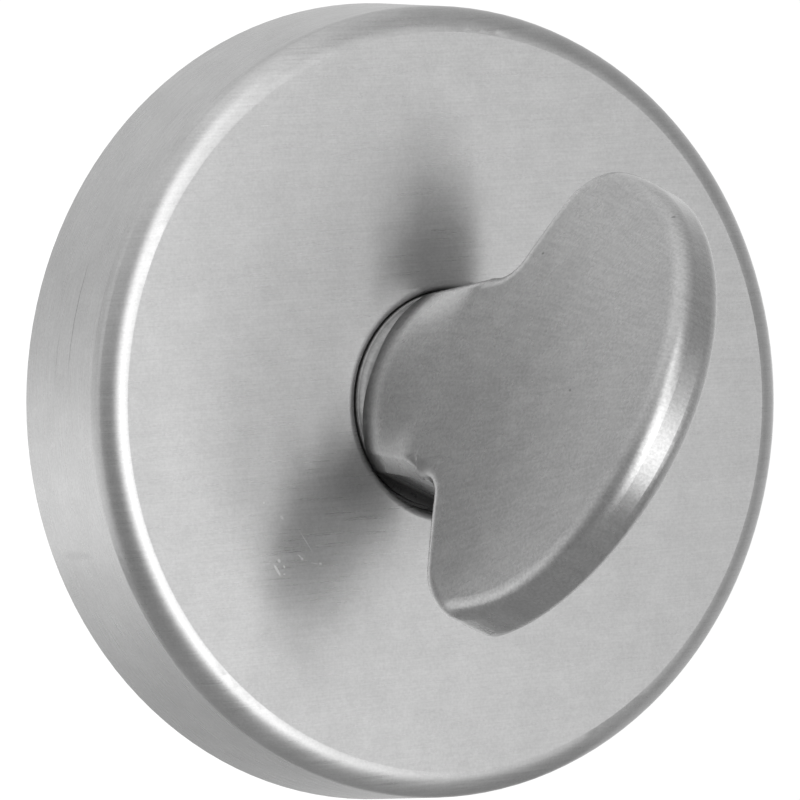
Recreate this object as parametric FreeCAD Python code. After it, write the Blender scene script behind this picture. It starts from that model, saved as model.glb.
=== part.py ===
import FreeCAD, Part
import math
import os

os.makedirs("parts", exist_ok=True)

# Bathroom thumb turn on a round rose, in millimetres.
# Every piece is drawn about a local Z axis that points out of the door, with
# Z = 0 on the door's face, and is then laid into the part's frame at the end:
# +X to the right, +Z up, and -Y out of the door towards the user.

# Rose cover
cover_radius = 26.0
cover_height = 9.3
cover_draft = 0.68
cover_sheet = 1.0
cover_edge_radius = 1.75
hole_radius = 7.2
hole_lip_radius = 0.6
hole_collar_depth = 1.8

# Inner rose
plate_cover_gap = 1.3
plate_floor = 2.4
plate_rim_drop = 2.3
plate_rim_wall = 1.1
hub_wall = 1.2
rib_thickness = 1.2
rib_drop = 1.0
rib_angles = (-32.0, 0.0, 32.0, 148.0, 212.0)
recess_radius = 8.3
recess_depth = 3.4
stop_pocket_radius = 9.6
plate_edge_round = 0.4

# Steel plate under the screw heads
steel_plate = 1.0
steel_plate_width = 16.0
steel_plate_end_gap = 0.2
steel_ring_width = 3.0
steel_plate_side_gap = 0.3
hub_gap = 0.2

# Fixing screws
screw_head_rim_gap = 0.1
screw_thread_radius = 2.0
screw_shank_radius = 1.75
screw_hole_clearance = 0.2
screw_length = 25.0
screw_plain_past_door = 1.0
screw_head_radius = 3.5
screw_head_height = 2.6
screw_head_round = 0.4
screw_slot_width = 1.1
screw_slot_depth = 1.2
screw_tip_chamfer = 0.5

# Bush
journal_radius = 6.0
running_clearance = 0.05
bush_ring_gap = 0.2
bush_flange_radius = 8.6
bush_flange_thickness = 1.1
bush_flange_gap = 0.2
press_clearance = 0.01

# Thumb turn
rest_angle = 66.0
turn_angle = 90.0
shoulder_depth = 1.2
neck_radius = 7.14
neck_flare = 0.11
neck_half_width = 6.2
neck_face_half = 6.45
neck_face_radius = 9.0
neck_face_height = 5.35
neck_ridge_round = 0.7
neck_sections = 6
notch_half_width = 7.05
notch_height = 8.0
notch_round = 1.4
neck_half_thickness = 6.2
wedge_slope = 0.172
face_bow_radius = 62.0
collar_sink = 0.2
collar_round = 0.12
collar_blend = 0.6
collar_waist = 0.15
wing_half_span = 15.2
wing_tip_radius = 3.4
wing_top = 26.2
wing_underside_angle = 10.9
wing_edge_round = 1.3
rim_flat = 0.15
journal_end = 0.2
journal_flat = 5.2

# Spindle
spindle_width = 6.0
spindle_chamfer = 0.4
spindle_length = 45.0
spindle_clearance = 0.05
spindle_insertion = 9.3
socket_end_gap = 0.3

# Grub screw
grub_radius = 1.5
grub_clearance = 0.02
grub_sink = 0.1
grub_key_width = 1.5
grub_key_depth = 1.3

# Washers and ring
slip_washer_thickness = 0.25
slip_washer_radius = 6.8
stop_washer_thickness = 1.0
stop_washer_radius = 8.0
stop_tab_radius = 9.4
stop_tab_width = 4.0
stop_tab_offset = 135.0
stop_clearance_angle = 1.0
key_clearance = 0.05
spring_washer_thickness = 0.3
spring_washer_bow = 0.4
spring_washer_radius = 7.8
ring_thickness = 1.0
ring_groove_depth = 0.25
ring_groove_play = 0.1
ring_radius = 7.2
ring_gap_angle = 60.0
ring_lug_radius = 1.2
ring_lug_centre = 6.9
ring_lug_hole = 0.7

# Cover clips
clip_count = 3
clip_first_angle = 60.0
clip_width = 5.0
clip_sheet = 0.4
clip_play = 0.05
clip_leg = 2.6
clip_spring_leg = 4.6

# Levels along the local Z axis
shoulder_level = cover_height - shoulder_depth
collar_top = cover_height - collar_sink
bush_top = shoulder_level - slip_washer_thickness - running_clearance
collar_end = cover_height - hole_collar_depth
flange_top = collar_end - bush_flange_gap
hub_top = flange_top - bush_flange_thickness
plate_rim_height = cover_height - cover_sheet - plate_rim_drop
rib_height = plate_rim_height - rib_drop
head_seat = plate_floor + steel_plate
stop_washer_top = recess_depth - running_clearance
stop_washer_bottom = stop_washer_top - stop_washer_thickness
spring_bottom = stop_washer_bottom - spring_washer_thickness - spring_washer_bow
ring_bottom = spring_bottom - ring_thickness
grub_height = (recess_depth + bush_top) / 2

# Radii that follow from the fits
bush_radius = hole_radius - bush_ring_gap
bush_bore = journal_radius + running_clearance
plate_radius = cover_radius - cover_sheet - plate_cover_gap
rim_inner_radius = plate_radius - plate_rim_wall
groove_radius = journal_radius - ring_groove_depth
screw_hole_radius = screw_thread_radius + screw_hole_clearance
screw_centres = 2 * (rim_inner_radius - screw_head_radius - screw_head_rim_gap)
screw_positions = [FreeCAD.Vector(0, s * screw_centres / 2, 0) for s in (1, -1)]
hub_radius = stop_pocket_radius + hub_wall
steel_ring_radius = hub_radius + hub_gap + steel_ring_width

Z_AXIS = FreeCAD.Vector(0, 0, 1)
ORIGIN = FreeCAD.Vector(0, 0, 0)


def cylinder(radius, bottom, top, centre=ORIGIN):
    """A cylinder about the local Z axis, or about a parallel axis through centre."""
    base = FreeCAD.Vector(centre.x, centre.y, bottom)
    return Part.makeCylinder(radius, top - bottom, base)


def block(width, depth, bottom, top):
    """A box centred on the local Z axis."""
    corner = FreeCAD.Vector(-width / 2, -depth / 2, bottom)
    return Part.makeBox(width, depth, top - bottom, corner)


def turned(shape, angle):
    """The same shape, turned about the local Z axis."""
    copy = shape.copy()
    copy.rotate(ORIGIN, Z_AXIS, angle)
    return copy


def outline(corners, to_space):
    """A closed wire through (a, b, radius) corners, each rounded by its own tangent arc."""
    points = [FreeCAD.Vector(a, b, 0) for a, b, _ in corners]
    edges = []
    ends = []
    for i, (_, _, radius) in enumerate(corners):
        here = points[i]
        back = (points[i - 1] - here).normalize()
        ahead = (points[(i + 1) % len(points)] - here).normalize()
        if radius == 0:
            ends.append((here, None, here))
            continue
        half = back.getAngle(ahead) / 2
        reach = radius / math.tan(half)
        middle_way = (back + ahead).normalize()
        middle = here + middle_way * (radius / math.sin(half) - radius)
        ends.append((here + back * reach, middle, here + ahead * reach))
    for i, (start, middle, end) in enumerate(ends):
        if middle is not None:
            edges.append(Part.Arc(to_space(start), to_space(middle), to_space(end)).toShape())
        following = ends[(i + 1) % len(ends)][0]
        edges.append(Part.makeLine(to_space(end), to_space(following)))
    return Part.Wire(edges)


def on_radius(point):
    """Outline coordinates (radius, height) in the local XZ plane."""
    return FreeCAD.Vector(point.x, 0, point.y)


def revolved(corners):
    """A ring or disc turned from its (radius, height, rounding) section."""
    return Part.Face(outline(corners, on_radius)).revolve(ORIGIN, Z_AXIS, 360)


def make_rose_cover():
    """Pressed sheet: drafted wall, rounded edge, flat face and a turned-in hole."""
    top = cover_height
    inner_top = top - cover_sheet
    wall_top = cover_radius - cover_draft
    inner_round = cover_edge_radius - cover_sheet
    collar_outside = hole_radius + cover_sheet
    return revolved(
        [
            (cover_radius, 0, 0),
            (wall_top, top, cover_edge_radius),
            (hole_radius, top, hole_lip_radius),
            (hole_radius, collar_end, 0),
            (collar_outside, collar_end, 0),
            (collar_outside, inner_top, 0),
            (wall_top - cover_sheet, inner_top, inner_round),
            (cover_radius - cover_sheet, 0, 0),
        ]
    )


def make_rib(angle):
    """One upright rib that braces the rim, clear of the steel ring round the hub."""
    start = steel_ring_radius + steel_plate_side_gap
    length = plate_radius - plate_rim_wall / 2 - start
    corner = FreeCAD.Vector(start, -rib_thickness / 2, 0)
    return turned(Part.makeBox(length, rib_thickness, rib_height, corner), angle)


def make_stop_pocket():
    """The sector of the recess in which the tab of the stop washer travels."""
    tab_half_angle = math.degrees(math.asin(stop_tab_width / 2 / recess_radius))
    sweep = turn_angle + 2 * (tab_half_angle + stop_clearance_angle)
    sector = Part.makeCylinder(stop_pocket_radius, recess_depth, ORIGIN, Z_AXIS, sweep)
    middle_angle = turn_angle / 2 + stop_tab_offset
    return turned(sector, middle_angle - sweep / 2)


def make_mounting_plate():
    """Moulded inner rose: floor, rim, hub, ribs, and the recess for the stop."""
    plate = revolved(
        [
            (0, 0, 0),
            (plate_radius, 0, 0),
            (plate_radius, plate_rim_height, plate_edge_round),
            (rim_inner_radius, plate_rim_height, plate_edge_round),
            (rim_inner_radius, plate_floor, 0),
            (0, plate_floor, 0),
        ]
    )
    ribs = [make_rib(angle) for angle in rib_angles]
    plate = plate.fuse([cylinder(hub_radius, 0, hub_top)] + ribs)
    plate = plate.cut(cylinder(bush_radius + press_clearance, 0, hub_top))
    plate = plate.cut(cylinder(recess_radius, 0, recess_depth))
    plate = plate.cut(make_stop_pocket())
    for centre in screw_positions:
        plate = plate.cut(cylinder(screw_hole_radius, 0, plate_floor, centre))
    return plate.removeSplitter()


def make_reinforcing_plate():
    """Steel plate round the hub that spreads the load of the two screw heads."""
    end_radius = rim_inner_radius - steel_plate_end_gap
    plate = cylinder(end_radius, plate_floor, head_seat)
    plate = plate.common(block(steel_plate_width, 2 * end_radius, plate_floor, head_seat))
    plate = plate.fuse(cylinder(steel_ring_radius, plate_floor, head_seat))
    plate = plate.cut(cylinder(hub_radius + hub_gap, plate_floor, head_seat))
    for centre in screw_positions:
        plate = plate.cut(cylinder(screw_hole_radius, plate_floor, head_seat, centre))
    return plate.removeSplitter()


def make_fixing_screw(centre):
    """Cheese-head machine screw with a slot; its thread stands out behind the door face."""
    thread_start = -screw_plain_past_door
    tip = head_seat - screw_length
    head_top = head_seat + screw_head_height
    shank = screw_shank_radius
    thread = screw_thread_radius
    screw = revolved(
        [
            (0, tip, 0),
            (thread - screw_tip_chamfer, tip, 0),
            (thread, tip + screw_tip_chamfer, 0),
            (thread, thread_start, 0),
            (shank, thread_start, 0),
            (shank, head_seat, 0),
            (screw_head_radius, head_seat, 0),
            (screw_head_radius, head_top, screw_head_round),
            (0, head_top, 0),
        ]
    )
    slot = block(screw_slot_width, 2 * screw_head_radius, head_top - screw_slot_depth, head_top)
    screw = screw.cut(slot)
    screw.translate(centre)
    return screw


def make_neck_bush():
    """Flanged plastic bush; its upper ring fills the cover's hole below the turn."""
    return revolved(
        [
            (bush_bore, recess_depth, 0),
            (bush_radius, recess_depth, 0),
            (bush_radius, hub_top, 0),
            (bush_flange_radius, hub_top, 0),
            (bush_flange_radius, flange_top, 0),
            (bush_radius, flange_top, 0),
            (bush_radius, bush_top, 0),
            (bush_bore, bush_top, 0),
        ]
    )


def make_wing_blank():
    """The turn's front outline, carried straight through its thickness."""
    notch_z = cover_height + notch_height
    slope = math.radians(wing_underside_angle)
    tip_x = wing_half_span - wing_tip_radius
    rise = math.tan(slope) * (tip_x - notch_half_width)
    tip_z = notch_z + rise + wing_tip_radius / math.cos(slope)
    top_z = cover_height + wing_top
    reach = top_z - wing_tip_radius
    arc_z = (reach**2 - tip_x**2 - tip_z**2) / (2 * (reach - tip_z))
    arc_radius = top_z - arc_z

    def at(x, z):
        return FreeCAD.Vector(x, 0, z)

    # where the tip arc meets the straight underside and the large top arc
    under = at(tip_x + wing_tip_radius * math.sin(slope), tip_z - wing_tip_radius * math.cos(slope))
    away = at(tip_x, tip_z - arc_z).normalize()
    over = at(0, arc_z) + away * arc_radius
    outermost = at(wing_half_span, tip_z)

    # the concave notch between the neck's side and the underside
    foot = at(neck_half_width, shoulder_level)
    notch = at(notch_half_width, notch_z)
    down = (foot - notch).normalize()
    out = (under - notch).normalize()
    half = down.getAngle(out) / 2
    tangent = notch_round / math.tan(half)
    notch_low = notch + down * tangent
    notch_high = notch + out * tangent
    notch_middle = notch + (down + out).normalize() * (notch_round / math.sin(half) - notch_round)

    def mirrored(point):
        return FreeCAD.Vector(-point.x, 0, point.z)

    right = [
        Part.makeLine(foot, notch_low),
        Part.Arc(notch_low, notch_middle, notch_high).toShape(),
        Part.makeLine(notch_high, under),
        Part.Arc(under, outermost, over).toShape(),
    ]
    left = [
        Part.Arc(mirrored(over), mirrored(outermost), mirrored(under)).toShape(),
        Part.makeLine(mirrored(under), mirrored(notch_high)),
        Part.Arc(mirrored(notch_high), mirrored(notch_middle), mirrored(notch_low)).toShape(),
        Part.makeLine(mirrored(notch_low), mirrored(foot)),
    ]
    crown = [Part.Arc(over, at(0, top_z), mirrored(over)).toShape()]
    base = [Part.makeLine(mirrored(foot), foot)]
    depth = 4 * neck_half_thickness
    face = Part.Face(Part.Wire(right + crown + left + base))
    face.translate(FreeCAD.Vector(0, -depth / 2, 0))
    return face.extrude(FreeCAD.Vector(0, depth, 0))


def make_sloping_half(side):
    """All that lies inside one face of the turn: the face leans in and is bowed across."""
    low = shoulder_level
    rise = wing_top + shoulder_depth + wing_edge_round
    reach = 2 * wing_half_span
    crest = neck_half_thickness + wedge_slope * shoulder_depth
    edge = crest - face_bow_radius + math.sqrt(face_bow_radius**2 - reach**2)
    far = -4 * neck_half_thickness

    def at(x, y):
        return FreeCAD.Vector(x, side * y, low)

    section = Part.Wire(
        [
            Part.Arc(at(-reach, edge), at(0, crest), at(reach, edge)).toShape(),
            Part.makeLine(at(reach, edge), at(reach, far)),
            Part.makeLine(at(reach, far), at(-reach, far)),
            Part.makeLine(at(-reach, far), at(-reach, edge)),
        ]
    )
    lean = FreeCAD.Vector(0, -side * wedge_slope, 1) * rise
    return Part.Face(section).extrude(lean)


def make_neck_round():
    """The flared round that bounds the neck's sides, up to where the notches begin."""
    notch_start = notch_height - notch_round
    return revolved(
        [
            (0, collar_top, 0),
            (neck_radius, collar_top, 0),
            (neck_radius + neck_flare * notch_start, cover_height + notch_start, 0),
            (0, cover_height + notch_start, 0),
        ]
    )


def make_neck_half(side):
    """All that lies inside one face of the neck: round at the foot, and flat where the wing begins."""
    notch_start = notch_height - notch_round
    reach = neck_radius
    far = -2 * neck_radius
    sections = []
    for step in range(neck_sections + 1):
        height = (notch_start + collar_sink) * step / neck_sections - collar_sink
        share = min(max(height / neck_face_height, 0), 1)
        crest = neck_half_thickness - wedge_slope * height
        crest += (1 - share) * (neck_face_half - neck_half_thickness)
        bow = 1 / ((1 - share) / neck_face_radius + share / face_bow_radius)
        edge = crest - bow + math.sqrt(bow**2 - reach**2)
        level = cover_height + height

        def at(x, y):
            return FreeCAD.Vector(x, side * y, level)

        arc = Part.Arc(at(-reach, edge), at(0, crest), at(reach, edge)).toShape()
        walls = [
            Part.makeLine(at(reach, edge), at(reach, far)),
            Part.makeLine(at(reach, far), at(-reach, far)),
            Part.makeLine(at(-reach, far), at(-reach, edge)),
        ]
        sections.append(Part.Wire([arc] + walls))
    return Part.makeLoft(sections, True, False)


def is_ridge(edge):
    """True for the rising edges where the faces meet the round sides."""
    middle = edge.valueAt((edge.FirstParameter + edge.LastParameter) / 2)
    rises = edge.BoundBox.ZLength > notch_height / 2
    return rises and abs(middle.y) > neck_half_thickness * 2 / 3


def make_collar():
    """Round foot of the neck in the cover's hole, blended up to the two faces, with two flats."""
    waist = neck_face_half - collar_waist
    blend_top = collar_top + collar_blend + collar_round
    collar = revolved(
        [
            (0, shoulder_level, 0),
            (neck_radius, shoulder_level, 0),
            (neck_radius, collar_top, collar_round),
            (waist, collar_top, collar_blend),
            (waist, blend_top, 0),
            (0, blend_top, 0),
        ]
    )
    return collar.common(block(2 * neck_half_width, 4 * neck_radius, shoulder_level, blend_top))


def make_neck(blank):
    """The neck between the collar and the notches, its four ridges rounded."""
    neck = blank.common(make_neck_round())
    neck = neck.common(make_neck_half(1)).common(make_neck_half(-1))
    ridges = [edge for edge in neck.Edges if is_ridge(edge)]
    return neck.makeFillet(neck_ridge_round, ridges)


def thinnest_rim():
    """Half the thickness where the leaning, bowed faces come nearest to each other."""
    crown = neck_half_thickness - wedge_slope * wing_top
    bow = face_bow_radius - math.sqrt(face_bow_radius**2 - wing_half_span**2)
    tip_level = notch_height + math.tan(math.radians(wing_underside_angle)) * wing_half_span
    return min(crown, neck_half_thickness - wedge_slope * tip_level - bow)


def wing_edges(shape):
    """The long edges where the sloping faces meet the outline, without those of the foot."""
    chosen = []
    for edge in shape.Edges:
        box = edge.BoundBox
        along_face = box.YLength < box.DiagonalLength / 2
        if box.ZMax > cover_height and along_face:
            chosen.append(edge)
    return chosen


def make_thumb_turn():
    """Wing, neck, shoulder and journal in one casting, with the spindle socket."""
    blank = make_wing_blank()
    turn = blank.common(make_sloping_half(1)).common(make_sloping_half(-1))
    notch_start = cover_height + notch_height - notch_round
    wing = turn.makeFillet(min(wing_edge_round, thinnest_rim() - rim_flat), wing_edges(turn))
    wing = wing.cut(cylinder(2 * wing_half_span, shoulder_level, notch_start))
    turn = wing.fuse(make_neck(blank))
    journal = cylinder(journal_radius, journal_end, shoulder_level)
    key = block(4 * journal_radius, 2 * journal_flat, journal_end, recess_depth)
    shaft = journal.common(key.fuse(cylinder(journal_radius, recess_depth, shoulder_level)))
    turn = turn.fuse([make_collar(), shaft])
    groove_low = ring_bottom - ring_groove_play / 2
    groove_high = ring_bottom + ring_thickness + ring_groove_play / 2
    groove = cylinder(2 * journal_radius, groove_low, groove_high)
    turn = turn.cut(groove.cut(cylinder(groove_radius, groove_low, groove_high)))
    socket_width = spindle_width + 2 * spindle_clearance
    socket_top = spindle_insertion + journal_end + socket_end_gap
    turn = turn.cut(block(socket_width, socket_width, journal_end, socket_top))
    hole = Part.makeCylinder(
        grub_radius,
        journal_radius,
        FreeCAD.Vector(spindle_width / 2, 0, grub_height),
        FreeCAD.Vector(1, 0, 0),
    )
    return turned(turn.cut(hole).removeSplitter(), rest_angle)


def make_spindle():
    """Square bar with chamfered corners."""
    top = journal_end + spindle_insertion
    bar = block(spindle_width, spindle_width, top - spindle_length, top)
    long_edges = [edge for edge in bar.Edges if edge.BoundBox.ZLength > spindle_length / 2]
    return turned(bar.makeChamfer(spindle_chamfer, long_edges), rest_angle)


def make_spindle_grub_screw():
    """Socket set screw in the journal, bearing on one flat of the spindle."""
    length = math.sqrt(journal_radius**2 - grub_radius**2) - grub_sink - spindle_width / 2
    along = FreeCAD.Vector(1, 0, 0)
    foot = FreeCAD.Vector(spindle_width / 2, 0, grub_height)
    screw = Part.makeCylinder(grub_radius - grub_clearance, length, foot, along)
    corner_radius = grub_key_width / math.sqrt(3)
    head_x = spindle_width / 2 + length
    corners = []
    for i in range(7):
        angle = math.radians(60 * i)
        y = corner_radius * math.cos(angle)
        z = grub_height + corner_radius * math.sin(angle)
        corners.append(FreeCAD.Vector(head_x, y, z))
    key = Part.Face(Part.makePolygon(corners)).extrude(along * -grub_key_depth)
    return turned(screw.cut(key), rest_angle)


def make_slip_washer():
    """Thin plain washer under the shoulder of the turn."""
    low = shoulder_level - slip_washer_thickness
    ring = cylinder(slip_washer_radius, low, shoulder_level)
    return ring.cut(cylinder(bush_bore, low, shoulder_level))


def make_stop_washer():
    """Washer keyed to the journal's flats, with the tab that ends the quarter turn."""
    low, high = stop_washer_bottom, stop_washer_top
    washer = cylinder(stop_washer_radius, low, high)
    tab = Part.makeBox(
        stop_tab_radius,
        stop_tab_width,
        high - low,
        FreeCAD.Vector(0, -stop_tab_width / 2, low),
    )
    tab = turned(tab, stop_tab_offset).common(cylinder(stop_tab_radius, low, high))
    bore = cylinder(journal_radius + key_clearance, low, high)
    bore = bore.common(block(4 * journal_radius, 2 * (journal_flat + key_clearance), low, high))
    return turned(washer.fuse(tab).cut(bore).removeSplitter(), rest_angle)


def make_spring_washer():
    """Curved spring washer: a flat ring bowed to one arc across its width."""
    half = spring_washer_radius
    low = spring_bottom
    sheet = spring_washer_thickness

    def arc(offset):
        left = FreeCAD.Vector(-half, 0, low + offset)
        top = FreeCAD.Vector(0, 0, low + offset + spring_washer_bow)
        right = FreeCAD.Vector(half, 0, low + offset)
        return Part.Arc(left, top, right).toShape()

    lower = arc(0)
    upper = arc(sheet)
    sides = [
        Part.makeLine(FreeCAD.Vector(s * half, 0, low), FreeCAD.Vector(s * half, 0, low + sheet))
        for s in (-1, 1)
    ]
    section = Part.Face(Part.Wire(Part.__sortEdges__([lower, upper] + sides)))
    section.translate(FreeCAD.Vector(0, -half, 0))
    bowed = section.extrude(FreeCAD.Vector(0, 2 * half, 0))
    ring = cylinder(half, low, stop_washer_bottom)
    ring = ring.cut(cylinder(bush_bore, low, stop_washer_bottom))
    return turned(bowed.common(ring), rest_angle)


def make_circlip():
    """Open retaining ring with a lug and a plier hole at each end."""
    low = ring_bottom
    high = ring_bottom + ring_thickness
    ring = cylinder(ring_radius, low, high)
    wedge = Part.makeCylinder(
        2 * ring_radius, ring_thickness, FreeCAD.Vector(0, 0, low), Z_AXIS, ring_gap_angle
    )
    ring = ring.cut(turned(wedge, -ring_gap_angle / 2))
    holes = []
    lugs = []
    for side in (-1, 1):
        angle = math.radians(side * ring_gap_angle / 2)
        centre = FreeCAD.Vector(math.cos(angle), math.sin(angle), 0) * ring_lug_centre
        lugs.append(cylinder(ring_lug_radius, low, high, centre))
        holes.append(cylinder(ring_lug_hole, low, high, centre))
    ring = ring.fuse(lugs)
    ring = ring.cut(cylinder(groove_radius + press_clearance, low, high))
    for hole in holes:
        ring = ring.cut(hole)
    return turned(ring.removeSplitter(), rest_angle)


def make_cover_clip(angle):
    """Bent spring strip hooked over the rim, its outer leg bowed against the cover."""
    half = clip_width / 2
    inner_x = math.sqrt(rim_inner_radius**2 - half**2) - clip_play - clip_sheet
    outer_x = plate_radius + clip_play
    bend_z = plate_rim_height + clip_play + clip_sheet
    low_z = bend_z - clip_spring_leg
    middle_z = (bend_z + low_z) / 2
    wall_here = cover_radius - cover_sheet - cover_draft * middle_z / cover_height
    bow_x = math.sqrt(wall_here**2 - half**2) - clip_play
    corners = [
        (inner_x, bend_z - clip_leg),
        (inner_x, bend_z),
        (outer_x + clip_sheet, bend_z),
        (bow_x, middle_z),
        (outer_x + clip_sheet, low_z),
        (outer_x, low_z),
        (bow_x - clip_sheet, middle_z),
        (outer_x, bend_z - clip_sheet),
        (inner_x + clip_sheet, bend_z - clip_sheet),
        (inner_x + clip_sheet, bend_z - clip_leg),
    ]
    points = [FreeCAD.Vector(x, -half, z) for x, z in corners]
    strip = Part.Face(Part.makePolygon(points + points[:1]))
    return turned(strip.extrude(FreeCAD.Vector(0, clip_width, 0)), angle)


def lay_into_frame(shape):
    """Turn the local Z axis, out of the door, into the frame's -Y."""
    shape.rotate(ORIGIN, FreeCAD.Vector(1, 0, 0), 90)
    return shape


pieces = {
    "rose_cover": make_rose_cover(),
    "mounting_plate": make_mounting_plate(),
    "reinforcing_plate": make_reinforcing_plate(),
    "neck_bush": make_neck_bush(),
    "fixing_screw_upper": make_fixing_screw(screw_positions[0]),
    "fixing_screw_lower": make_fixing_screw(screw_positions[1]),
    "thumb_turn": make_thumb_turn(),
    "spindle": make_spindle(),
    "spindle_grub_screw": make_spindle_grub_screw(),
    "slip_washer": make_slip_washer(),
    "stop_washer": make_stop_washer(),
    "spring_washer": make_spring_washer(),
    "circlip": make_circlip(),
}
for number in range(clip_count):
    clip_angle = clip_first_angle + 360 * number / clip_count
    pieces[f"cover_clip_{number + 1}"] = make_cover_clip(clip_angle)

for node, shape in pieces.items():
    shape = lay_into_frame(shape)
    shape.exportStep(f"parts/{node}.step")
    print(node, shape.isValid(), len(shape.Solids), round(shape.Volume, 2))
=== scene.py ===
import math

import bpy
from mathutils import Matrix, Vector


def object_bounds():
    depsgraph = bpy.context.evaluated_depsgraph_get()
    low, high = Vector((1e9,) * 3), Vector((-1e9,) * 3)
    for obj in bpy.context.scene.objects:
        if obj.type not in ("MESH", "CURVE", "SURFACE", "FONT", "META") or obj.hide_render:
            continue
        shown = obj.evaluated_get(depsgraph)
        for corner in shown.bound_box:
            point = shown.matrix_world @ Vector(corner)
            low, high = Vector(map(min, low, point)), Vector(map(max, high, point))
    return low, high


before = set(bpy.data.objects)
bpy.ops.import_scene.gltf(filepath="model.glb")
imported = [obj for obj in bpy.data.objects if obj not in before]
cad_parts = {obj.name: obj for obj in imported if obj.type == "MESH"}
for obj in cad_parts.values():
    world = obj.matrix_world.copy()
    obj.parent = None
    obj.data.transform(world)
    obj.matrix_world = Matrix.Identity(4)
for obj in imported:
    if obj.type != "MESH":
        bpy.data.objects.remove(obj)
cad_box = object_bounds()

MM = 0.001

# Camera: the photograph's angle, with the rose's axis a little left of the middle
CAMERA_AZIMUTH = math.radians(-30.39)
CAMERA_ELEVATION = math.radians(0.30)
CAMERA_DISTANCE = 0.400
CAMERA_CLIP_START = 0.01
PIXELS_PER_METRE = 15305.0
IMAGE_SIZE = 800
SENSOR_MM = 36.0
AXIS_PIXEL = (381.1, 401.3)

# Surfaces, in linear colour
COVER_STEEL = (0.61, 0.61, 0.61)
TURN_STEEL = (0.55, 0.55, 0.55)
BLACK_PLASTIC = (0.03, 0.03, 0.03)
NYLON = (0.72, 0.72, 0.69)
ZINC = (0.62, 0.64, 0.66)
SPRING_STEEL = (0.30, 0.30, 0.31)

# Roughness of the plain surfaces, and how fine the grain of the metals is, to the metre
BLACK_ROUGHNESS = 0.30
NYLON_ROUGHNESS = 0.45
ZINC_ROUGHNESS = 0.30
ZINC_GRAIN = 1800.0
SPRING_ROUGHNESS = 0.28
SPRING_GRAIN = 2200.0

# Most of a noise lies between these values, which are carried to each lowest and highest below
NOISE_LOW = 0.3
NOISE_HIGH = 0.7

# Noises: how fine they are to the metre, their detail and their roughness
COVER_CLOUDS = (420.0, 3.0, 0.6)
COVER_GRAIN = (6500.0, 1.0, 0.5)
TURN_CLOUDS = (450.0, 3.0, 0.6)
TURN_GRAIN = (5500.0, 2.0, 0.5)
METAL_CLOUDS = (90.0, 2.0, 0.5)
PLASTIC_CLOUDS = (110.0, 2.0, 0.5)
PLASTIC_SKIN = (2500.0, 2.0, 0.6)
METAL_GRAIN_DETAIL = 3.0
METAL_GRAIN_ROUGHNESS = 0.6
STREAK_ROUGHNESS = 0.6

# Shade of each noise against the plain colour, lowest and highest
COVER_LINE_SHADE = (0.92, 1.08)
COVER_CLOUD_SHADE = (0.96, 1.04)
COVER_GRAIN_SHADE = (0.95, 1.05)
TURN_GRAIN_SHADE = (0.90, 1.10)
TURN_LINE_SHADE = (0.94, 1.06)
TURN_CLOUD_SHADE = (0.965, 1.035)
METAL_GRAIN_RANGE = (0.35, 0.65)
METAL_GRAIN_SHADE = (0.95, 1.05)
METAL_CLOUD_SHADE = (0.97, 1.03)
PLASTIC_CLOUD_SHADE = (0.95, 1.04)

# Roughness, lowest and highest, and for the plain surfaces as steps from their own
COVER_ROUGHNESS = (0.26, 0.32)
TURN_ROUGHNESS = (0.25, 0.29)
METAL_ROUGHNESS_STEPS = (-0.04, 0.05)
PLASTIC_ROUGHNESS_STEPS = (-0.05, 0.05)

# Relief: strength, and depth in millimetres
COVER_RELIEF = (0.35, 0.01)
TURN_RELIEF = (0.04, 0.02)
METAL_RELIEF = (0.10, 0.03)
PLASTIC_RELIEF = (0.15, 0.04)

# Brushing of the face, rising a little to the right: each streak's size in millimetres along it,
# into the steel and across it
BRUSH_TILT = math.radians(3.5)
FINE_STREAK = (3.5, 3.5, 0.11)
FINE_DETAIL = 3.0
BROAD_STREAK = (8.0, 8.0, 0.30)
BROAD_TILT = 1.5 * BRUSH_TILT
BROAD_DETAIL = 2.0
BROAD_SHARE = 0.3

# Brushing of the wall: streaks to the radian round it, and to the metre of its height
WALL_STREAKS_ROUND = 6.0
WALL_STREAKS_HIGH = 7000.0
WALL_DETAIL = 3.0

# The wall's brushing gives way to the face's on the rounded edge, as the surface turns
# forwards from 0 at the wall to 1 at the face
FACE_STARTS = 0.10
FACE_FULL = 0.60

# The brushing spreads reflections across its own lines, a quarter turn from them
BRUSH_SPREAD = 0.94
QUARTER_TURN = 0.25

# A mark is at its full strength up to the first share of its half size and ends at the second
MARK_FULL = 0.5
MARK_END = 1.1

# Marks on the cover's face: millimetres across and up from the axis, half length, half width,
# slope in degrees and strength
FACE_MARKS = (
    (-13.03, -10.57, 0.44, 0.10, -57, 1.0),
    (-12.90, -9.97, 0.15, 0.11, -50, 1.0),
    (-12.53, -10.34, 0.11, 0.07, -60, 0.7),
    (-12.53, -10.82, 0.08, 0.06, 0, 0.6),
    (-11.35, -9.75, 0.28, 0.05, -38, 0.6),
    (-11.24, -9.87, 0.13, 0.09, -40, 1.0),
    (-10.30, -10.18, 0.36, 0.04, -10, 0.35),
    (-9.90, -10.20, 0.12, 0.08, -20, 1.0),
    (-10.97, -8.75, 0.90, 0.04, -55, 0.4),
    (-12.70, -7.25, 0.18, 0.10, -50, 0.4),
    (-14.00, -6.30, 0.10, 0.09, 0, 0.4),
    (-7.30, 3.95, 0.12, 0.10, 20, 0.7),
    (-13.90, 17.40, 0.35, 0.04, 3, 0.5),
)
FACE_MARK_SHADE = 0.8
FACE_MARK_ROUGHNESS = 0.30

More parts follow.
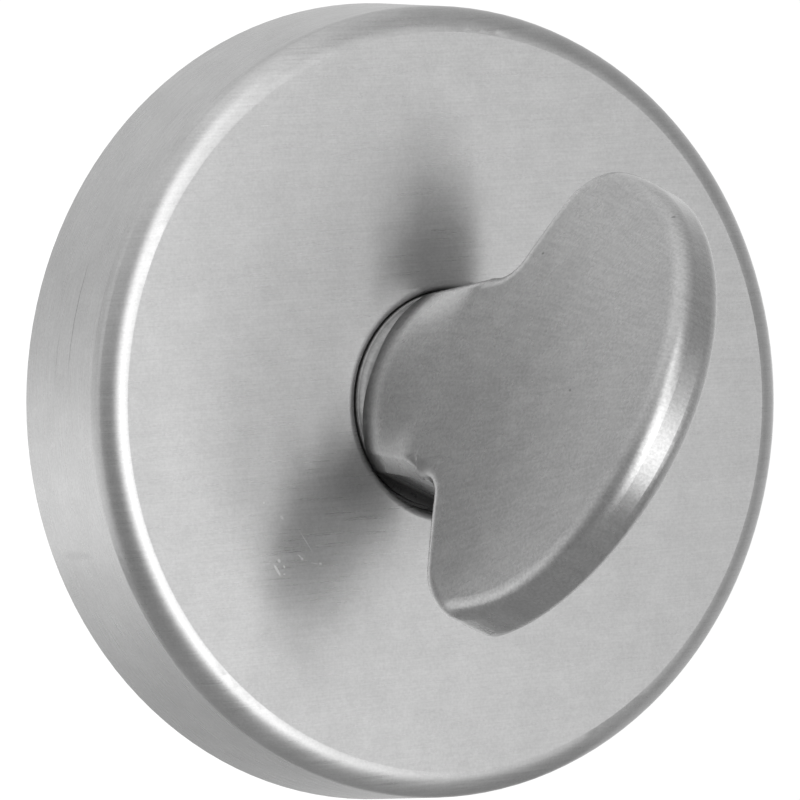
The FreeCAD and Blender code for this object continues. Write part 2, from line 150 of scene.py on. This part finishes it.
# Marks on the wall, two scratches and a smudge: first and last angle up from the left in
# degrees, height from the door in millimetres, half width and strength
WALL_MARKS = (
    (3.0, 22.0, 4.9, 0.06, 0.9),
    (2.7, 10.4, 3.4, 0.05, 0.5),
    (-22.8, -21.2, 2.9, 1.9, 0.22),
)
WALL_MARK_SHADE = -0.38

# The wing at rest, in radians up from the right
TURN_ANGLE = math.radians(66.0)

# Pits in the near face of the wing: millimetres along the wing and out from the door
PIT_RADIUS = 0.11
TURN_PITS = ((8.54, 19.97), (11.96, 29.30), (9.97, 33.04), (-0.45, 27.84), (5.57, 36.22))
PIT_SHADE = -0.45

# The finishing lines on the wing run towards a point along it and out from the door, in
# millimetres: lines to the radian, and breaks in them to the metre
FAN_ALONG = 2.0
FAN_OUT = 55.0
FAN_LINES = 120.0
FAN_BREAKS = 400.0
FAN_DETAIL = 2.0

# The foot of the turn's neck, down in the hole, has painted shade that darkens its colour, and
# is
# rougher: full below the first height from the door in millimetres, none above the second
FOOT_LOW = 9.0
FOOT_HIGH = 10.6
# Share of the colour kept at the foot, painted shade for the hole's shadow
FOOT_PAINTED_SHADE = 0.50
FOOT_ROUGHNESS = 0.22

# Stage: a pale floor below the part
FLOOR_DROP = 0.35
FLOOR_SIZE = 1.0
FLOOR_COLOUR = 0.42
FLOOR_ROUGHNESS = 0.8

# Soft lights of the room: azimuth from the front and height in degrees, brightness against
# white, and how tight the light is, where 3 fills a third of the room and 12 a small part
ROOM_LEVEL = 0.19
ROOM_COLOUR = (1, 1, 1, 1)
SOFT_LIGHTS = {
    "white_behind": (155, 0, 0.79, 3),
    "behind_left": (-168, -12, 1.28, 12),
    "left_low": (-116, -14, 0.65, 13),
    "right": (80, -15, 0.25, 5),
    "upper_left": (-80, 65, 0.71, 2.5),
    "front_low": (15, -20, 2.00, 17),
    "front": (-5, 0, 1.55, 14),
    "front_right": (20, 10, 0.35, 14),
    "front_high": (-12, 34, 1.10, 30),
}

# Inputs of the Map Range node, and places of the Mix node's sockets for numbers and vectors
RANGE_KEYS = ("From Min", "From Max", "To Min", "To Max")
MIX_FACTOR = 0
MIX_NUMBERS = (2, 3)
MIX_NUMBER_OUT = 0
MIX_VECTORS = (4, 5)
MIX_VECTOR_OUT = 1


def node_tree(name):
    """A new material with its nodes and links."""
    material = bpy.data.materials.new(name)
    material.use_nodes = True
    return material, material.node_tree.nodes, material.node_tree.links


def math_node(nodes, links, operation, first, second=None, third=None):
    """A Math node whose inputs are sockets or numbers."""
    made = nodes.new("ShaderNodeMath")
    made.operation = operation
    for socket, value in zip(made.inputs, (first, second, third)):
        if value is None:
            continue
        if isinstance(value, (int, float)):
            socket.default_value = value
        else:
            links.new(value, socket)
    return made.outputs[0]


def product(nodes, links, *factors):
    """Several sockets or numbers multiplied together."""
    total = factors[0]
    for each in factors[1:]:
        total = math_node(nodes, links, "MULTIPLY", total, each)
    return total


def dot(nodes, links, vector, fixed):
    """How far a unit vector points along a fixed one."""
    made = nodes.new("ShaderNodeVectorMath")
    made.operation = "DOT_PRODUCT"
    made.inputs[1].default_value = fixed
    links.new(vector, made.inputs[0])
    return made.outputs["Value"]


def separated(nodes, links, vector):
    """The three numbers of a vector."""
    made = nodes.new("ShaderNodeSeparateXYZ")
    links.new(vector, made.inputs[0])
    return made.outputs


def combined(nodes, links, first, second):
    """Two numbers as coordinates in a plane."""
    made = nodes.new("ShaderNodeCombineXYZ")
    links.new(first, made.inputs[0])
    links.new(second, made.inputs[1])
    return made.outputs[0]


def noise(nodes, links, vector, scale, detail, roughness):
    """A noise texture read at the given coordinates."""
    made = nodes.new("ShaderNodeTexNoise")
    made.inputs["Scale"].default_value = scale
    made.inputs["Detail"].default_value = detail
    made.inputs["Roughness"].default_value = roughness
    links.new(vector, made.inputs["Vector"])
    return made.outputs["Fac"]


def line_noise(nodes, links, vector, detail):
    """Noise read at coordinates that are already stretched into lines."""
    return noise(nodes, links, vector, 1.0, detail, STREAK_ROUGHNESS)


def streaks(nodes, links, vector, size, tilt, detail):
    """Streaks of a size in millimetres, rising to the right by a tilt."""
    made = nodes.new("ShaderNodeMapping")
    made.vector_type = "TEXTURE"
    made.inputs["Rotation"].default_value = (0, -tilt, 0)
    made.inputs["Scale"].default_value = [length * MM for length in size]
    links.new(vector, made.inputs["Vector"])
    return line_noise(nodes, links, made.outputs["Vector"], detail)


def ramp(nodes, links, value, low, high, out_low, out_high):
    """A value carried from one range to another, held at both ends."""
    made = nodes.new("ShaderNodeMapRange")
    for key, number in zip(RANGE_KEYS, (low, high, out_low, out_high)):
        made.inputs[key].default_value = number
    links.new(value, made.inputs["Value"])
    return made.outputs["Result"]


def varied(nodes, links, value, limits):
    """A noise carried to a lowest and a highest value."""
    return ramp(nodes, links, value, NOISE_LOW, NOISE_HIGH, *limits)


def tinted(nodes, links, colour, strength):
    """A colour darkened and lightened by a value around one."""
    made = nodes.new("ShaderNodeVectorMath")
    made.operation = "SCALE"
    made.inputs[0].default_value = colour
    links.new(strength, made.inputs["Scale"])
    return made.outputs["Vector"]


def mark(nodes, links, plane, centre, half_size, slope, strength):
    """A long mark with soft edges in a plane: its strength inside it and 0 outside."""
    local = nodes.new("ShaderNodeMapping")
    local.vector_type = "TEXTURE"
    local.inputs["Location"].default_value = (*centre, 0)
    local.inputs["Rotation"].default_value = (0, 0, slope)
    local.inputs["Scale"].default_value = (*half_size, 1)
    links.new(plane, local.inputs["Vector"])
    reach = nodes.new("ShaderNodeVectorMath")
    reach.operation = "LENGTH"
    links.new(local.outputs["Vector"], reach.inputs[0])
    return ramp(nodes, links, reach.outputs["Value"], MARK_FULL, MARK_END, strength, 0.0)


def strongest(nodes, links, marks):
    """The strongest of several marks at each point."""
    total = marks[0]
    for each in marks[1:]:
        total = math_node(nodes, links, "MAXIMUM", total, each)
    return total


def bumped(nodes, links, shader, height, strength, depth):
    """Fine relief from a height between 0 and 1, with its depth in millimetres."""
    bump = nodes.new("ShaderNodeBump")
    bump.inputs["Strength"].default_value = strength
    bump.inputs["Distance"].default_value = depth * MM
    links.new(height, bump.inputs["Height"])
    links.new(bump.outputs["Normal"], shader.inputs["Normal"])


def face_share(nodes, links):
    """1 on the cover's face, 0 on its wall, and between them on the rounded edge."""
    normal = nodes.new("ShaderNodeNewGeometry").outputs["True Normal"]
    forwards = dot(nodes, links, normal, (0, -1, 0))
    return ramp(nodes, links, forwards, FACE_STARTS, FACE_FULL, 0.0, 1.0)


def cover_lines(nodes, links, coords, angle, out, on_face):
    """Brush lines: straight across the face, and round the wall."""
    fine = streaks(nodes, links, coords, FINE_STREAK, BRUSH_TILT, FINE_DETAIL)
    broad = streaks(nodes, links, coords, BROAD_STREAK, BROAD_TILT, BROAD_DETAIL)
    fine_part = product(nodes, links, fine, 1 - BROAD_SHARE)
    straight = math_node(nodes, links, "MULTIPLY_ADD", broad, BROAD_SHARE, fine_part)
    round_plane = combined(
        nodes, links,
        product(nodes, links, angle, WALL_STREAKS_ROUND),
        product(nodes, links, out, WALL_STREAKS_HIGH),
    )
    chosen = nodes.new("ShaderNodeMix")
    links.new(on_face, chosen.inputs[MIX_FACTOR])
    links.new(line_noise(nodes, links, round_plane, WALL_DETAIL), chosen.inputs[MIX_NUMBERS[0]])
    links.new(straight, chosen.inputs[MIX_NUMBERS[1]])
    return chosen.outputs[MIX_NUMBER_OUT]


def cover_tangent(nodes, links, on_face):
    """The way the brush lines run: round the wall, and straight across the face."""
    round_way = nodes.new("ShaderNodeTangent")
    round_way.direction_type = "RADIAL"
    round_way.axis = "Y"
    chosen = nodes.new("ShaderNodeMix")
    chosen.data_type = "VECTOR"
    links.new(on_face, chosen.inputs[MIX_FACTOR])
    links.new(round_way.outputs[0], chosen.inputs[MIX_VECTORS[0]])
    chosen.inputs[MIX_VECTORS[1]].default_value = (math.cos(BRUSH_TILT), 0, math.sin(BRUSH_TILT))
    return chosen.outputs[MIX_VECTOR_OUT]


def cover_nicks(nodes, links, across, up, on_face):
    """Bright nicks and scratches on the face."""
    plane = combined(nodes, links, across, up)
    nicks = []
    for x, y, half_length, half_width, slope, strength in FACE_MARKS:
        half_size = (half_length * MM, half_width * MM)
        centre = (x * MM, y * MM)
        nicks.append(mark(nodes, links, plane, centre, half_size, math.radians(slope), strength))
    return product(nodes, links, strongest(nodes, links, nicks), on_face)


def cover_scratches(nodes, links, angle, out, on_face):
    """Dull scratches and a smudge on the wall."""
    plane = combined(nodes, links, angle, product(nodes, links, out, -1.0))
    scratches = []
    for first, last, height, half_width, strength in WALL_MARKS:
        centre = (math.radians((first + last) / 2), height * MM)
        half_size = (math.radians((last - first) / 2), half_width * MM)
        scratches.append(mark(nodes, links, plane, centre, half_size, 0.0, strength))
    on_wall = math_node(nodes, links, "SUBTRACT", 1.0, on_face)
    return product(nodes, links, strongest(nodes, links, scratches), on_wall)


def cover_material():
    """Brushed stainless steel with its brush lines, grain and wear."""
    material, nodes, links = node_tree("cover_brushed")
    shader = nodes["Principled BSDF"]
    coords = nodes.new("ShaderNodeTexCoord").outputs["Object"]
    across, out, up = separated(nodes, links, coords)
    angle = math_node(nodes, links, "ARCTAN2", up, product(nodes, links, across, -1.0))
    on_face = face_share(nodes, links)
    lines = cover_lines(nodes, links, coords, angle, out, on_face)
    nicks = cover_nicks(nodes, links, across, up, on_face)
    scratches = cover_scratches(nodes, links, angle, out, on_face)

    shade = product(
        nodes, links,
        varied(nodes, links, lines, COVER_LINE_SHADE),
        varied(nodes, links, noise(nodes, links, coords, *COVER_CLOUDS), COVER_CLOUD_SHADE),
        varied(nodes, links, noise(nodes, links, coords, *COVER_GRAIN), COVER_GRAIN_SHADE),
    )
    shade = math_node(nodes, links, "MULTIPLY_ADD", nicks, FACE_MARK_SHADE, shade)
    shade = math_node(nodes, links, "MULTIPLY_ADD", scratches, WALL_MARK_SHADE, shade)
    links.new(tinted(nodes, links, COVER_STEEL, shade), shader.inputs["Base Color"])

    rough = varied(nodes, links, lines, COVER_ROUGHNESS)
    rough = math_node(nodes, links, "MULTIPLY_ADD", nicks, FACE_MARK_ROUGHNESS, rough)
    links.new(rough, shader.inputs["Roughness"])
    links.new(cover_tangent(nodes, links, on_face), shader.inputs["Tangent"])
    shader.inputs["Anisotropic"].default_value = BRUSH_SPREAD
    shader.inputs["Anisotropic Rotation"].default_value = QUARTER_TURN
    shader.inputs["Metallic"].default_value = 1.0
    bumped(nodes, links, shader, lines, *COVER_RELIEF)
    return material


def turned(nodes, links, across, up, across_share, up_share):
    """A coordinate along a line in the plane of the door."""
    return math_node(
        nodes, links, "ADD",
        product(nodes, links, across, across_share),
        product(nodes, links, up, up_share),
    )


def turn_pits(nodes, links, along, height, near):
    """Small pits in the wing's near face."""
    plane = combined(nodes, links, along, height)
    half_size = (PIT_RADIUS * MM, PIT_RADIUS * MM)
    pits = [
        mark(nodes, links, plane, (x * MM, y * MM), half_size, 0.0, 1.0)
        for x, y in TURN_PITS
    ]
    on_near_side = math_node(nodes, links, "GREATER_THAN", near, 0.0)
    return product(nodes, links, strongest(nodes, links, pits), on_near_side)


def turn_lines(nodes, links, along, out):
    """Finishing lines that run together towards a point in front of the wing."""
    fan = math_node(
        nodes, links, "ARCTAN2",
        math_node(nodes, links, "SUBTRACT", along, FAN_ALONG * MM),
        math_node(nodes, links, "ADD", out, FAN_OUT * MM),
    )
    plane = combined(
        nodes, links,
        product(nodes, links, fan, FAN_LINES),
        product(nodes, links, out, FAN_BREAKS),
    )
    return line_noise(nodes, links, plane, FAN_DETAIL)


def turn_material():
    """Satin cast stainless steel: a close grain, faint finishing lines and a few small pits."""
    material, nodes, links = node_tree("turn_satin")
    shader = nodes["Principled BSDF"]
    coords = nodes.new("ShaderNodeTexCoord").outputs["Object"]
    across, out, up = separated(nodes, links, coords)
    height = product(nodes, links, out, -1.0)

    # the wing's own directions: along it, and towards its near face
    cosine, sine = math.cos(TURN_ANGLE), math.sin(TURN_ANGLE)
    along = turned(nodes, links, across, up, cosine, sine)
    near = turned(nodes, links, across, up, -sine, cosine)
    pits = turn_pits(nodes, links, along, height, near)
    lines = turn_lines(nodes, links, along, out)
    foot = ramp(nodes, links, height, FOOT_LOW * MM, FOOT_HIGH * MM, 1.0, 0.0)
    grain = noise(nodes, links, coords, *TURN_GRAIN)
    clouds = noise(nodes, links, coords, *TURN_CLOUDS)

    shade = product(
        nodes, links,
        varied(nodes, links, grain, TURN_GRAIN_SHADE),
        varied(nodes, links, lines, TURN_LINE_SHADE),
        varied(nodes, links, clouds, TURN_CLOUD_SHADE),
    )
    shade = math_node(nodes, links, "MULTIPLY_ADD", pits, PIT_SHADE, shade)
    # painted shade: the colour darkens towards the foot of the neck, down in the hole
    shade = product(nodes, links, shade, ramp(nodes, links, foot, 0.0, 1.0, 1.0, FOOT_PAINTED_SHADE))
    links.new(tinted(nodes, links, TURN_STEEL, shade), shader.inputs["Base Color"])

    rough = varied(nodes, links, clouds, TURN_ROUGHNESS)
    rough = math_node(nodes, links, "MULTIPLY_ADD", foot, FOOT_ROUGHNESS, rough)
    links.new(rough, shader.inputs["Roughness"])
    shader.inputs["Metallic"].default_value = 1.0
    bumped(nodes, links, shader, grain, *TURN_RELIEF)
    return material


def satin_metal(name, colour, roughness, grain_scale):
    """Plain satin metal with fine grain and slow variation."""
    material, nodes, links = node_tree(name)
    shader = nodes["Principled BSDF"]
    coords = nodes.new("ShaderNodeTexCoord").outputs["Object"]
    grain = noise(nodes, links, coords, grain_scale, METAL_GRAIN_DETAIL, METAL_GRAIN_ROUGHNESS)
    clouds = noise(nodes, links, coords, *METAL_CLOUDS)
    shade = product(
        nodes, links,
        ramp(nodes, links, grain, *METAL_GRAIN_RANGE, *METAL_GRAIN_SHADE),
        varied(nodes, links, clouds, METAL_CLOUD_SHADE),
    )
    links.new(tinted(nodes, links, colour, shade), shader.inputs["Base Color"])
    rough_limits = [roughness + step for step in METAL_ROUGHNESS_STEPS]
    links.new(varied(nodes, links, grain, rough_limits), shader.inputs["Roughness"])
    shader.inputs["Metallic"].default_value = 1.0
    bumped(nodes, links, shader, grain, *METAL_RELIEF)
    return material


def moulded_plastic(name, colour, roughness):
    """Moulded plastic with a fine skin."""
    material, nodes, links = node_tree(name)
    shader = nodes["Principled BSDF"]
    coords = nodes.new("ShaderNodeTexCoord").outputs["Object"]
    skin = noise(nodes, links, coords, *PLASTIC_SKIN)
    clouds = noise(nodes, links, coords, *PLASTIC_CLOUDS)
    shade = varied(nodes, links, clouds, PLASTIC_CLOUD_SHADE)
    links.new(tinted(nodes, links, colour, shade), shader.inputs["Base Color"])
    rough_limits = [roughness + step for step in PLASTIC_ROUGHNESS_STEPS]
    links.new(varied(nodes, links, skin, rough_limits), shader.inputs["Roughness"])
    bumped(nodes, links, shader, skin, *PLASTIC_RELIEF)
    return material


def dress_nodes():
    """Give every carried-over piece its finished material."""
    black = moulded_plastic("black_moulding", BLACK_PLASTIC, BLACK_ROUGHNESS)
    nylon = moulded_plastic("nylon_moulding", NYLON, NYLON_ROUGHNESS)
    zinc = satin_metal("zinc_plate", ZINC, ZINC_ROUGHNESS, ZINC_GRAIN)
    spring = satin_metal("spring_steel", SPRING_STEEL, SPRING_ROUGHNESS, SPRING_GRAIN)
    finish = {
        "rose_cover": cover_material(),
        "thumb_turn": turn_material(),
        "neck_bush": black,
        "slip_washer": black,
        "mounting_plate": nylon,
        "reinforcing_plate": zinc,
        "fixing_screw_upper": zinc,
        "fixing_screw_lower": zinc,
        "spindle": zinc,
        "stop_washer": zinc,
    }
    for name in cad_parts:
        for slot in bpy.data.objects[name].material_slots:
            slot.material = finish.get(name, spring)


def direction(azimuth, height):
    """The unit vector towards an azimuth, counted from the front, and a height, in degrees."""
    azimuth, height = math.radians(azimuth), math.radians(height)
    level = math.cos(height)
    return Vector((math.sin(azimuth) * level, -math.cos(azimuth) * level, math.sin(height)))


def build_world():
    """A pale room with soft lights in it, white behind the part."""
    world = bpy.data.worlds.new("studio")
    bpy.context.scene.world = world
    world.use_nodes = True
    nodes, links = world.node_tree.nodes, world.node_tree.links
    way = nodes.new("ShaderNodeTexCoord").outputs["Generated"]
    total = ROOM_LEVEL
    for azimuth, height, level, tightness in SOFT_LIGHTS.values():
        towards = dot(nodes, links, way, direction(azimuth, height))
        off = math_node(nodes, links, "SUBTRACT", towards, 1.0)
        fall = math_node(nodes, links, "EXPONENT", product(nodes, links, off, tightness))
        total = math_node(nodes, links, "MULTIPLY_ADD", fall, level, total)
    links.new(total, nodes["Background"].inputs["Strength"])
    nodes["Background"].inputs["Color"].default_value = ROOM_COLOUR


def build_floor():
    """A pale floor below the part."""
    low = cad_box[0][2] - FLOOR_DROP
    bpy.ops.mesh.primitive_plane_add(size=FLOOR_SIZE, location=(0, 0, low))
    floor = bpy.context.object
    floor.name = "floor"
    material, nodes, links = node_tree("floor_pale")
    shader = nodes["Principled BSDF"]
    shader.inputs["Base Color"].default_value = (FLOOR_COLOUR, FLOOR_COLOUR, FLOOR_COLOUR, 1)
    shader.inputs["Roughness"].default_value = FLOOR_ROUGHNESS
    floor.data.materials.append(material)


def build_camera():
    """The photograph's camera."""
    data = bpy.data.cameras.new("camera")
    data.sensor_width = SENSOR_MM
    data.lens = SENSOR_MM * PIXELS_PER_METRE * CAMERA_DISTANCE / IMAGE_SIZE
    data.shift_x = (IMAGE_SIZE / 2 - AXIS_PIXEL[0]) / IMAGE_SIZE
    data.shift_y = (AXIS_PIXEL[1] - IMAGE_SIZE / 2) / IMAGE_SIZE
    data.clip_start = CAMERA_CLIP_START
    camera = bpy.data.objects.new("camera", data)
    bpy.context.collection.objects.link(camera)
    level = math.cos(CAMERA_ELEVATION)
    back = Vector((
        math.sin(CAMERA_AZIMUTH) * level,
        -math.cos(CAMERA_AZIMUTH) * level,
        math.sin(CAMERA_ELEVATION),
    ))
    camera.location = back * CAMERA_DISTANCE
    camera.rotation_euler = back.to_track_quat("Z", "Y").to_euler()
    bpy.context.scene.camera = camera


dress_nodes()
build_world()
build_floor()
build_camera()
bpy.context.scene.view_settings.view_transform = "Standard"
